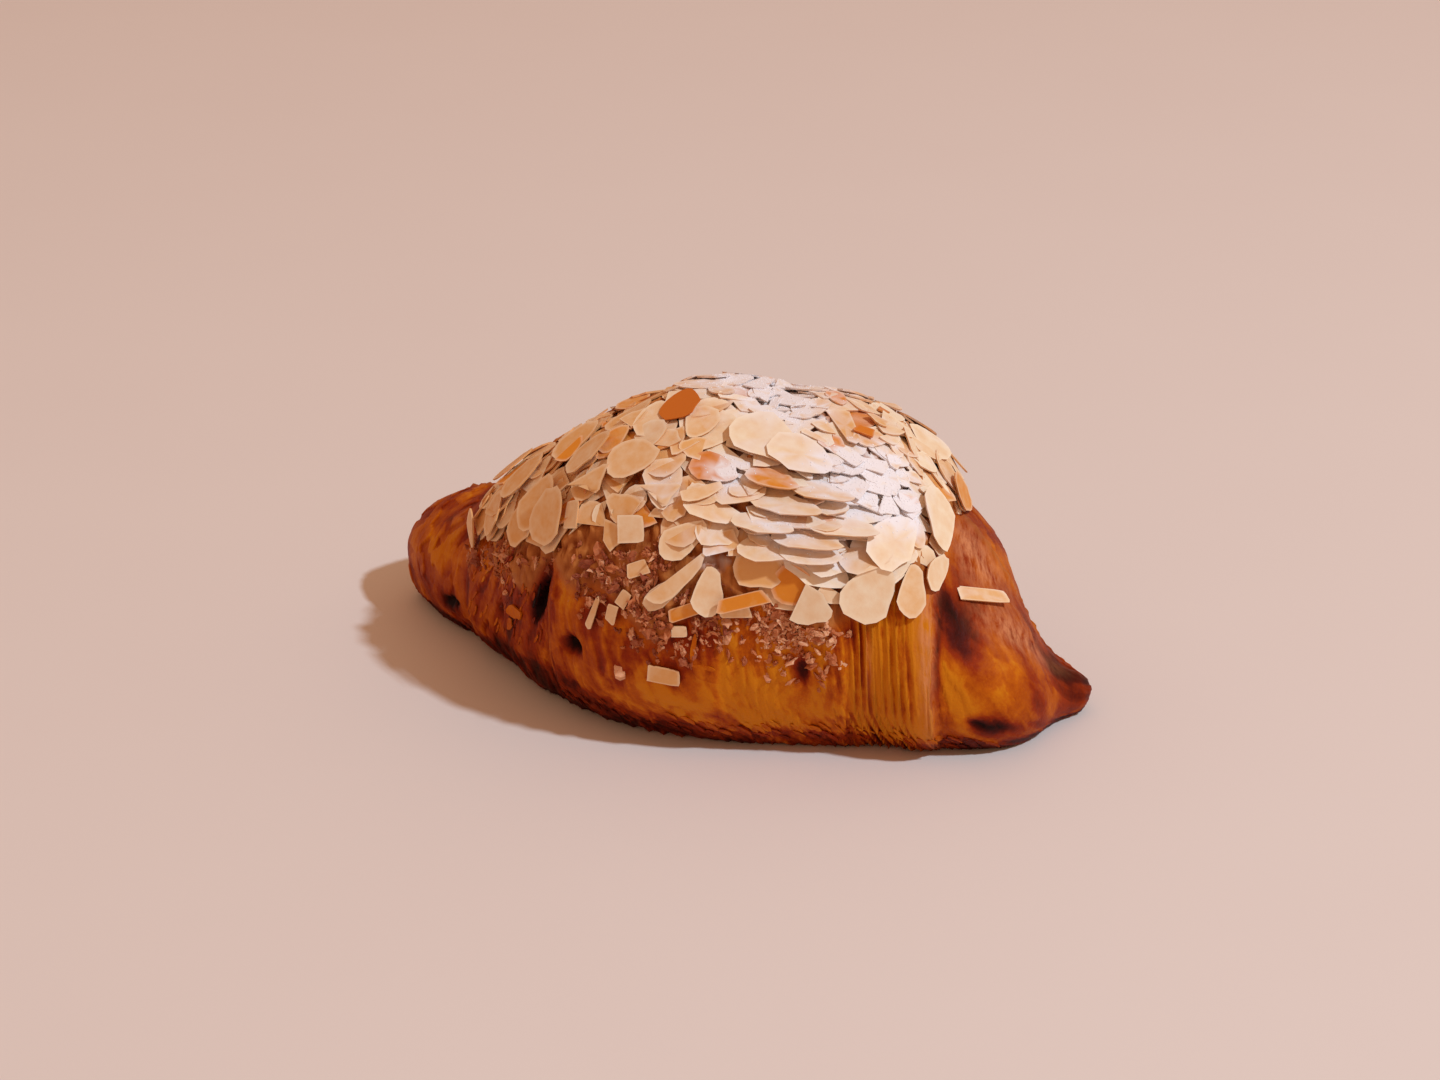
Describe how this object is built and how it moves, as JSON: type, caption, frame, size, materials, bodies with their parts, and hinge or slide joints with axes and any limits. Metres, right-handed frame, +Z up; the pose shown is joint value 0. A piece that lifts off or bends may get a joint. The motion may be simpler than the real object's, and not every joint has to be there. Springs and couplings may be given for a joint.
{
  "type": "almond croissant",
  "caption": "Baked crescent of rolled layered dough with stepped wraps and blunt horns, topped with a crumbly almond crust and flaked almonds.",
  "frame": {"origin": "centre of the bounding box in plan, on the plane of the flat underside", "axes": "+X along the crescent towards the drawn-out horn, +Z up, the bulging side faces -Y"},
  "size_m": [0.168, 0.0848, 0.0736],
  "materials": {
    "baked_dough": "matte browned crust"
  },
  "bodies": {
    "root": {"croissant": "baked_dough"}
  },
  "joints": []
}
